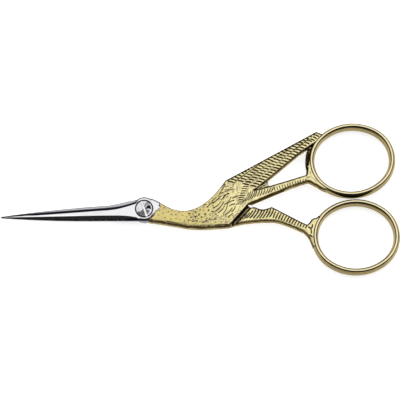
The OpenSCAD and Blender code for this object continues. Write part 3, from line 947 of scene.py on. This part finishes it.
def gathered(name, pieces):
    """Many strokes in one object"""
    form = bmesh.new()
    for piece in pieces:
        form.from_mesh(piece.data)
        bpy.data.objects.remove(piece)
    mesh = bpy.data.meshes.new(name)
    form.to_mesh(mesh)
    form.free()
    return in_scene(name, mesh)


broad = gathered("broad_strokes", [
    # Barbs on the wing, from its lower row to its upper edge
    *(stroke_row(line, pitch, lengths, slants, 0.05, 0.1, seed)
      for seed, (line, pitch, lengths, slants) in enumerate((
          ([(31.6, 6.7), (39.2, 12.95), (48.0, 20.4)], 1.04, (1.5, 1.4), (-14, -18)),
          ([(29.3, 7.3), (39.2, 15.1), (48.9, 22.4)], 1.04, (1.45, 1.3), (-12, -20)),
          ([(27.9, 8.2), (34.0, 12.8), (41.6, 18.3)], 1.02, (1.4, 1.1), (-14, -20)),
          ([(25.0, 8.0), (28.3, 10.7), (34.2, 14.5)], 1.0, (1.5, 0.8), (-16, -10))), 1)),
    # Hatching down the lower leg
    stroke_row([(28.7, -2.6), (30.1, -1.85), (31.6, -1.6), (33.3, -1.55)],
               0.84, (2.3, 3.0), (44, 58), -0.06, 0.05, 8),
    stroke_row([(34.1, -1.55), (36.8, -1.35)], 0.82, (2.9, 2.5), (59, 64), -0.05, 0.05, 9),
    stroke_row([(37.6, -1.9), (39.5, -2.5), (40.9, -3.1), (42.2, -3.6), (44.3, -4.5),
                (46.8, -5.35)], 0.76, (1.9, 0.9), (66, 58), 0.04, 0.08, 10),
    # Short barbs where the wing runs into the ring
    stroke_row([(48.9, 20.7), (50.3, 21.9)], 0.8, (1.1, 0.8), (-24, -30), 0.05, 0.1, 28),
    # Grooves that part the toes
    cut_lines([
        [(48.1, 8.0), (49.0, 7.55), (50.3, 6.6)], [(47.4, -5.5), (48.25, -5.85), (48.5, -4.85)],
        [(48.15, -6.2), (48.2, -7.3)], [(47.7, -7.9), (48.4, -8.35)]]),
])
fine = gathered("fine_strokes", [
    # Hatching down the upper leg
    stroke_row([(29.2, 3.2), (30.3, 3.7), (31.5, 4.1)],
               0.7, (3.6, 2.5), (58, 66), -0.08, 0.05, 5),
    stroke_row([(32.2, 4.35), (34.6, 4.95), (37.0, 5.6)],
               0.76, (1.9, 1.3), (72, 62), -0.06, 0.08, 6),
    stroke_row([(37.8, 5.8), (40.5, 6.6), (43.1, 7.55), (46.8, 8.6)],
               0.76, (1.1, 0.5), (106, 96), 0.08, 0.12, 7),
    # The ladder between the breast and the wing
    stroke_row([(29.9, 7.8), (29.0, 5.9), (28.5, 4.1), (27.95, 2.6), (27.3, 1.3)],
               0.68, (1.3, 1.4), (-4, 2), 0.06, 0.12, 21),
    # Bolder pits where the neck meets the breast
    pits([(12.6, -0.9), (16.2, 0.3), (19.3, 2.6), (20.2, -0.2), (21.4, -3.4), (17.0, -4.4),
          (12.6, -3.9)], 1.05, 0.42, 25, 60, 0.25, 31),
    # Quills on the breast
    cut_lines([
        [(19.86, 1.49), (21.2, 2.75), (22.31, 3.73)], [(20.14, 0.21), (21.3, 1.0), (22.11, 2.03)],
        [(20.66, -0.75), (22.0, 0.45), (22.94, 1.94)],
        [(21.39, -1.28), (22.4, -0.45), (23.15, 0.66)],
        [(22.83, -1.49), (23.6, -0.4), (24.07, 0.96)],
        [(23.46, -1.79), (24.6, -0.95), (25.4, 0.21)],
        [(24.59, 0.66), (25.3, 1.15), (26.12, 1.4)], [(23.95, 1.28), (24.8, 2.0), (25.92, 2.45)],
        [(23.23, 1.2), (24.4, 2.15), (25.11, 3.44)], [(23.35, 5.02), (24.4, 5.5), (25.51, 5.77)],
        [(19.54, 2.15), (20.2, 2.75), (20.87, 3.32)], [(25.51, 3.11), (26.3, 3.5), (26.96, 3.65)],
        [(21.79, 4.48), (22.4, 5.4), (22.94, 6.42), (23.23, 7.26)],
        [(21.4, 3.6), (22.2, 4.5), (22.9, 4.9)], [(22.9, 3.3), (23.6, 4.1), (24.5, 4.5)],
        [(25.3, -1.0), (26.0, -0.1), (26.3, 0.7)], [(22.3, 2.6), (23.0, 3.3), (23.3, 4.1)],
        [(18.6, 0.9), (19.2, 1.5), (19.9, 1.9)], [(24.2, -2.6), (25.0, -1.9), (25.6, -1.5)],
    ]),
    # Partings between the wing's rows
    cut_lines([[(25.6, 6.9), (26.5, 8.1), (27.47, 9.0)], [(27.47, 9.0), (29.4, 10.4)],
               [(29.4, 10.4), (32.6, 12.7)], [(32.6, 12.7), (35.6, 15.0)]]),
])
pitted = gathered("pits", [
    # Faint marks on the foot, beside the ladder and between the wing's rows
    cut_lines([
        [(48.1, 10.9), (48.35, 9.4)], [(48.7, 9.2), (49.9, 7.9)], [(47.1, 9.3), (48.0, 9.4)],
        [(26.6, 7.7), (26.9, 5.2), (26.6, 3.9)], [(30.6, 8.0), (30.0, 5.6), (29.3, 3.7)],
        [(30.3, 7.0), (39.2, 14.05), (47.8, 20.95)], [(28.6, 7.8), (36.0, 13.4), (44.6, 19.9)]]),
    # Pits from the neck over the breast to the joint
    *(pits(*patch) for patch in (
        ([(4.6, 0.6), (8.6, -0.9), (13.4, -0.9), (13.4, -3.9), (8.6, -3.9), (4.0, -2.2)],
         1.05, 0.3, 10, 70, 0.2, 22),
        ([(13.4, -0.9), (16.2, 0.3), (19.3, 2.6), (20.2, -0.2), (21.4, -3.4), (17.0, -4.4),
          (13.4, -3.9)], 0.75, 0.5, 25, 40, 0.25, 23),
        ([(19.6, -0.8), (21.6, -1.9), (25.8, -2.2), (27.0, -0.9), (25.0, -4.3), (20.6, -4.4)],
         0.55, 0.42, 40, 30, 0.2, 24),
        ([(19.2, 2.6), (22.5, 2.2), (26.6, 5.6), (24.0, 8.2), (21.6, 5.6)],
         0.6, 0.6, 40, 25, 0.2, 25),
        ([(25.9, -2.4), (27.7, 0.9), (28.7, 0.7), (26.3, -3.5)], 0.5, 0.4, 60, 40, 0.2, 29),
        ([(26.4, 3.6), (27.6, 0.8), (29.4, 1.4), (29.0, 3.2), (27.2, 5.4)],
         0.5, 0.5, 20, 30, 0.2, 26))),
    # Nicks along the neck's lower edge
    stroke_row([(6.5, -3.75), (11.2, -4.62), (16, -5.02), (20, -5.0), (23.6, -4.72)],
               0.52, (0.5, 0.5), (150, 20), 0.1, 0.9, 27),
])

# The spacing of points on the struck faces
STEP = 0.118
MIDDLE, FACE = THICK / 2, THICK - 0.02
RIM_R, RIM_ROWS = 0.3, (0.05, 0.11, 0.19, 0.29)
WALL_ROWS, WALL_SWELL = 7, 0.12


def wall_painted_shade(line, shaded):
    """Painted shade on the walls: dark under the upper rim, tan below it, dark at the bottom
    and beside the shaded points
    """
    crook_painted_shade = 0.6 * soft_step(1.4 - nearest(line, shaded) / 0.7) if len(shaded) else 0
    return lambda z: (0.36 + 0.62 * soft_step((z - 2.4) / 0.5)
                      + 0.4 * soft_step((0.5 - z) / 0.5) + crook_painted_shade)


def shank(thin, thick, split, seams, thin_z, up, shaded=()):
    """A gilt half: thin where it laps the other half, thick beyond the split line.

    Both outlines are lists of lines; those at the seams are met by the blade or the ring.
    """
    skin = Skin()
    sign = 1 if up else -1
    thin = [evenly(line, STEP) for line in thin]
    thick = [evenly(line, STEP) for line in thick]
    split = evenly(split, STEP)
    lines = [*thin, *thick]
    whole = looped(*lines)
    free = [line for k, line in enumerate(lines) if k not in seams]
    sewn = [line for k, line in enumerate(lines) if k in seams]
    far_free = [line for k, line in enumerate(lines) if k not in seams and k >= len(thin)]
    beside = inset([*free, split], RIM_ROWS, STEP)

    def rounding(edges, plan):
        """How far the rounded rims sink below the face"""
        over = np.clip(RIM_R - distance(plan, edges), 0, RIM_R)
        return (RIM_R - np.sqrt(RIM_R ** 2 - over ** 2)) * 0.8

    run = np.roll(whole, -1, axis=0) - np.roll(whole, 1, axis=0)
    out = np.column_stack([run[:, 1], -run[:, 0]]) / np.linalg.norm(run, axis=1)[:, None]
    bare = distance(whole, sewn) > 0.1
    upper_rim, lower_rim = whole[bare & (out[:, 1] > 0.1)], whole[bare & (out[:, 1] <= 0.1)]
    finish = whole[~bare & (whole[:, 0] < 4.9)]

    def rim_painted_shade(plan):
        """Painted shade along the rims, more so from the breast on, and a dark line at the border
        of the steel
        """
        strong = soft_step((plan[:, 0] - 21) / 4)
        top_edge = soft_step(1.2 + 0.4 * strong - nearest(plan, upper_rim) / (0.3 + 0.08 * strong))
        edges = np.maximum((0.8 + 0.13 * strong) * top_edge,
                           0.3 * soft_step(1 - nearest(plan, lower_rim) / 0.16))
        return np.maximum(edges, 0.5 * soft_step(1.2 - nearest(plan, finish) / 0.26))

    def lap_painted_shade(plan):
        """The lap face: painted shade beside the joint's wall, with a lighter painted line half
        way over
        """
        away = distance(plan, [split])
        return np.where(away < 1.7, 0.95 - 0.36 * np.exp(-((away - 0.85) / 0.16) ** 2), 0.35)

    def full(plan):
        return MIDDLE + sign * (FACE - MIDDLE - rounding(free, plan))

    def far(plan):
        return MIDDLE - sign * (FACE - MIDDLE - rounding([*far_free, split], plan))

    def filled(outline):
        """Points that fill an outline: an even lattice, and rows beside the rounded rims"""
        around = closed(outline)
        margin = RIM_ROWS[-1] + STEP * 0.5
        lattice = staggered(outline, STEP)
        off_edge, off_rim = distance(lattice, [around]), distance(lattice, [*free, split])
        seam_side = (off_rim > margin) & (off_edge > STEP * 0.6) & (off_edge <= margin)
        return np.concatenate([lattice[off_edge > margin], lattice[seam_side],
                               clear_of(beside, [around], 0.035)])

    skin.face(whole, filled(whole), full, up=up, side=sign, patina=rim_painted_shade)
    thin_outline = looped(*thin, split)
    thick_outline = looped(split[::-1], *thick)
    coarse, close = staggered(thin_outline, 0.6), staggered(thin_outline, 0.16)
    close = close[distance(close, [split]) <= 1.9]
    thin_inner = clear_of(np.concatenate([clear_of(coarse, [split], 2.0), close]),
                          [closed(thin_outline)], 0.1)
    skin.face(thin_outline, thin_inner, thin_z, up=not up, patina=lap_painted_shade)
    skin.face(thick_outline, filled(thick_outline), far, up=not up, side=-sign, patina=rim_painted_shade)

    def levels(top, bottom):
        return [top + (bottom - top) * k / WALL_ROWS for k in range(WALL_ROWS + 1)]

    still = [*sewn, *(np.array([end, end + 1e-3]) for end in (split[0], split[-1]))]
    swell = WALL_SWELL * soft_step(distance(whole, still) / 0.5)
    joint = sum(len(line) - 1 for line in thin)
    whole, out, swell = (np.concatenate([part, part[:1]]) for part in (whole, out, swell))
    upper = levels(full(whole), thin_z)
    for part, rows, end in ((slice(0, joint + 1), upper, 0),
                            (slice(joint, None), upper + levels(thin_z, far(whole))[1:], -sign)):
        skin.wall(whole[part], [row[part] for row in rows], swell[part], out[part],
                  sides=(sign, end), patina=wall_painted_shade(whole[part], shaded))
    # The joint's wall is dark: painted shade between the halves
    skin.wall(split, levels(thin_z, far(split)), sides=(0, -sign), patina=0.9)
    return skin


def struck(piece):
    """The piece with every size of stroke pressed into its faces"""
    for strokes, half_width, depth, darkness in (
            (broad, 0.27, 0.2, 0.97), (fine, 0.18, 0.15, 0.97), (pitted, 0.3, 0.1, 0.32)):
        fitted(piece, relief_tree, Strokes=strokes, Half_Width=half_width * MM, Depth=depth * MM,
               Darkness=darkness, Material=gilding)
        settled(piece)
    piece.data.shade_smooth()
    return piece


# How far the gilt runs in under the ring's band
TUCK = -0.45
under_claw = claw(FRONT_RING, [
    (209, 1.15), (213, 0.8), (217.5, 0.35), (223, 0.16), (228, -0.05), (233, TUCK)])
over_claw = claw(FRONT_RING, [(180, TUCK), (182, 0), (191, 0.5)])
ring_lap = claw(FRONT_RING, [(233, TUCK), (180, TUCK)], 60)
crest_angle = bearing(tail + [1.6, -0.5] - FRONT_RING[0]) % 360
wing_angle = bearing(wing_end - FRONT_RING[0]) % 360
crest = ring_point(FRONT_RING, crest_angle, TUCK)
wing_tuck = ring_point(FRONT_RING, wing_angle, TUCK)
crest_lap = claw(FRONT_RING, [(wing_angle, TUCK), (crest_angle, TUCK)], 50)
over_neck = np.array([*breast[:LAP_AT + 1][::-1], *throat_end[:-1][::-1]])
front_thin = [over_neck, [nape, FINISH], cheek[::-1], under_neck, [belly, fork],
              leg_under[:FORK_AT + 1]]
front_thick = [
    leg_under[FORK_AT:], [leg_bottom, *under_claw], ring_lap, [*over_claw, leg_top],
    leg_over[::-1], [window, wing_root], [wing_root, wing_tuck], crest_lap, [crest, tail],
    [tail, shoulder], breast[LAP_AT:][::-1]]
# The lines, by their place in those lists, at which the shank meets its blade and its ring
FRONT_SEAMS, BACK_SEAMS = (1, 2, 8, 13), (2, 3, 8)
crook = evenly(leg_under, 0.2)
front_shank = shank(front_thin, front_thick, lap[::-1], FRONT_SEAMS, FRONT_FLOOR, True,
                    shaded=crook[crook[:, 0] < 40])
front_shank = struck(front_shank.made("front_shank", gilding))
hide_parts("front_body", "front_leg", "front_foot")
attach(front_shank, "front_half")

# The web in the corner between wing and leg lies lower than both, and is only roughly cast
WEB_Z, WEB_LOW, FIN_Z, FIN_LOW = 3.0, 0.15, 3.3, 0.6
web_line = closed(evenly([
    window + 5.2 * heading(WING_RISE), leg_over[18], leg_over[12] - [0, 0.3],
    window - [0.8, 0.4], window + [-0.4, 0.7], window + 5.2 * heading(WING_RISE)], 0.15)[-2::-1])
bumps = np.array([[0.7, 2.3, 0.4], [2.9, -1.7, 1.9], [-1.9, 4.1, 3.1]])


def cast(plan):
    """The uneven height of a cast skin"""
    wave = sum(np.sin(plan[:, 0] * a * 2 + plan[:, 1] * b * 2 + c) for a, b, c in bumps)
    return WEB_Z + 0.035 * wave


def leftover(name, line, clear, top, levels, tone, under_tone, wall_tone):
    """A thin leftover of the casting inside a closed line"""
    skin = Skin()
    lattice = clear_of(staggered(line[:-1], 0.15), [line], clear)
    skin.face(line[:-1], lattice, top, patina=tone)
    skin.face(line[:-1], lattice, levels[-1], up=False, patina=under_tone)
    skin.wall(line, [top(line), *levels], patina=wall_tone)
    return skin.made(name, gilding)


# The web's colour, tan and darker in its dips, is painted shade of the sunk corner
web_piece = leftover("cast_web", web_line, 0.1, cast, [WEB_LOW],
                     lambda plan: 0.36 + 3 * (WEB_Z - cast(plan)), 0.45, 0.5)
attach(web_piece, "front_half")

# A ragged fin runs down the ring's outer side, from the wing to the foot, dark with painted
# shade where the ring's outer flank lies in shade
turns = np.arange(164, 204.5, 0.6)
ragged = 0.66 + 0.1 * np.sin(turns * 1.9) + 0.06 * np.sin(turns * 4.3 + 1)
ragged = ragged * soft_step((turns - 162) / 3) * soft_step((207 - turns) / 4) + 0.05
fin_edge = np.array([ring_point(FRONT_RING, a, r) for a, r in zip(turns, ragged)])
fin_root = np.array([ring_point(FRONT_RING, a, -0.4) for a in turns])
fin_line = evenly(np.array([*fin_edge, *fin_root[::-1], fin_edge[0]]), 0.15)


def fin_top(plan):
    """The fin stands proud at its edge and sinks towards the ring"""
    sunk = 0.5 * np.clip(1 - distance(plan, [fin_root]) / 1.1, 0, 1)
    return FIN_Z - sunk + 2 * (cast(plan) - WEB_Z)


# The fin's top, underside and wall are all dark: painted shade
fin_piece = leftover("flash_fin", fin_line, 0.08, fin_top, [2.2, FIN_LOW],
                     lambda plan: 0.82 + 1.5 * (WEB_Z - cast(plan)), 0.6,
                     lambda z: 0.55 + 0.4 * soft_step(z - 1.6))
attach(fin_piece, "front_half")

under_back = off_head(under_neck + [0, -0.2])
roof_edge = lap + [0, -0.3]
roof_throat = over_neck[over_neck[:, 0] < roof_edge[0][0] - 0.3]
low_cheek = np.array([*head_arc(bearing(under_back[0]), -15), FINISH])
back_thin = [
    [thigh_corner, *roof_edge[roof_edge[:, 0] < 29.6][::-1]], [roof_edge[0], *roof_throat],
    [nape, FINISH], low_cheek[::-1], under_back, [under_back[-1], thigh_heel]]
back_claw_over = claw(BACK_RING, [
    (150, TUCK), (151, 0), (154.5, 0.2), (157.3, 0.95), (159.5, 1.25), (163.5, 1.4)])
back_claw_under = claw(BACK_RING, [
    (178.5, 1.15), (182, 0.6), (188, 0.2), (194, 0), (195, TUCK)])
back_lap = claw(BACK_RING, [(195, TUCK), (150, TUCK)], 50)
back_thick = [thigh_under, [shin_bottom, *back_claw_under], back_lap, [*back_claw_over, shin_top],
              thigh_over[::-1]]
back_shank = shank(back_thin, back_thick, [thigh_heel, thigh_corner], BACK_SEAMS, BACK_ROOF,
                   False)
back_shank = struck(back_shank.made("back_shank", gilding))
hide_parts("back_body", "back_leg", "back_foot")
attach(back_shank, "back_half")
for strokes in (broad, fine, pitted):
    bpy.data.objects.remove(strokes)

# ---------------------------------------------------------------------------------------------
# Studio. A pale floor, a wide soft light overhead with darker surroundings, as the bright metal
# needs, and a long lens at the photograph's angle.

FLOOR_HALF, FLOOR_Z = 3, -0.0001
floor_mesh = bpy.data.meshes.new("floor")
floor_mesh.from_pydata([(x * FLOOR_HALF, y * FLOOR_HALF, FLOOR_Z)
                        for x, y in ((-1, -1), (1, -1), (1, 1), (-1, 1))], [], [(0, 1, 2, 3)])
floor = in_scene("floor", floor_mesh)
paper, tree, shader = principled("white_paper")
floor_mesh.materials.append(paper)
sight = node(tree, "ShaderNodeLightPath").outputs
seen = maths(tree, "MAXIMUM", sight["Is Camera Ray"], sight["Is Glossy Ray"])
plug(tree, shader, {
    "Base Color": (0.9, 0.9, 0.9, 1), "Roughness": 0.9, "Emission Color": (1, 1, 1, 1),
    "Emission Strength": maths(tree, "MULTIPLY", seen, 0.76)})

world = bpy.data.worlds.new("studio")
bpy.context.scene.world = world
world.use_nodes = True
tree = world.node_tree
sky = tree.nodes["Background"]
toward = node(tree, "ShaderNodeTexCoord").outputs["Generated"]
look = node(tree, "ShaderNodeSeparateXYZ", {0: toward}).outputs

# The light fills the ceiling from just short of the camera to well behind the object
LIGHT, ROOM_LOW, ROOM_HIGH = 1.06, 0.35, 0.02
near_edge = ranged(tree, look["Y"], -0.3, -0.1, kind="SMOOTHSTEP")
side_edge = ranged(tree, maths(tree, "ABSOLUTE", look["X"]), 0.62, 0.9, 1, 0, "SMOOTHSTEP")
room = ranged(tree, look["Z"], 0, 0.3, ROOM_LOW, ROOM_HIGH, "SMOOTHSTEP")
bright = mixed(tree, maths(tree, "MULTIPLY", near_edge, side_edge), room, LIGHT)
plug(tree, sky, {"Strength": bright, "Color": (1, 1, 1, 1)})

bpy.context.scene.view_settings.view_transform = "Standard"

camera_data = bpy.data.cameras.new("camera")
camera = in_scene("camera", camera_data)
bpy.context.scene.camera = camera
ELEVATION, AWAY, SENSOR = 75, 600, 36
FOCAL_PIXELS, PICTURE_PIXELS = 2079, 400
AIM_RIGHT, AIM_UP = 16.13, 2.48
rise = math.radians(ELEVATION)
up = Vector((0, math.sin(rise), math.cos(rise)))
back = Vector((0, -math.cos(rise), math.sin(rise)))
aim = Vector((AIM_RIGHT, 0, THICK)) + AIM_UP * up
camera.location = (aim + AWAY * back) * MM
camera.rotation_euler = (math.radians(90) - rise, 0, 0)
camera_data.sensor_width = SENSOR
camera_data.lens = SENSOR * FOCAL_PIXELS / PICTURE_PIXELS
camera_data.clip_start, camera_data.clip_end = 0.01, 10
